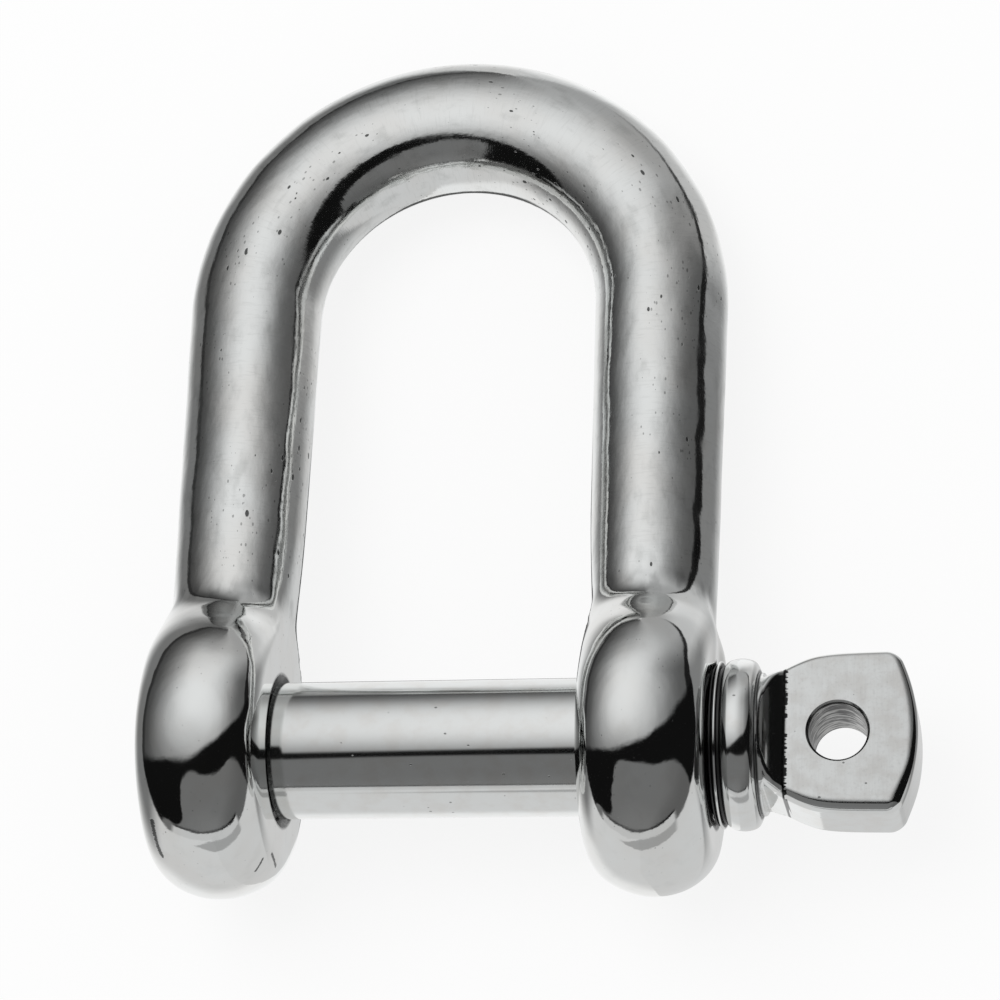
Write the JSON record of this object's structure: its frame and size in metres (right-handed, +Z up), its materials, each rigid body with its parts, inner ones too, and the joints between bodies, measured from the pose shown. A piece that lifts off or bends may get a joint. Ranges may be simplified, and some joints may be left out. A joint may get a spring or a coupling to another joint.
{
  "type": "shackle",
  "caption": "Long D shackle of polished stainless steel: a round-bar bow with eyes at its ends, closed by a screw pin with a collar and a flat thumb tab drilled for a lanyard.",
  "frame": {"origin": "on the pin's axis, halfway between the two eyes", "axes": "+X along the pin towards its thumb tab, +Y towards the crown of the bow, +Z up from the surface on which the shackle lies on its side"},
  "size_m": [0.0558, 0.0661, 0.0216],
  "materials": {
    "bow_steel": "forged stainless steel, tumbled and polished to a soft mirror with faint hammer waves, pits and scratches",
    "pin_steel": "turned stainless steel, polished shank and collar, thumb tab ground flat with brush marks across it"
  },
  "bodies": {
    "bow": {"bow": "bow_steel"},
    "pin": {"screw_pin": "pin_steel"}
  },
  "joints": [
    {"name": "pin_draw", "type": "slide", "parent": "bow", "child": "pin", "axis": [1, 0, 0], "range_m": [0, 0.045]}
  ]
}
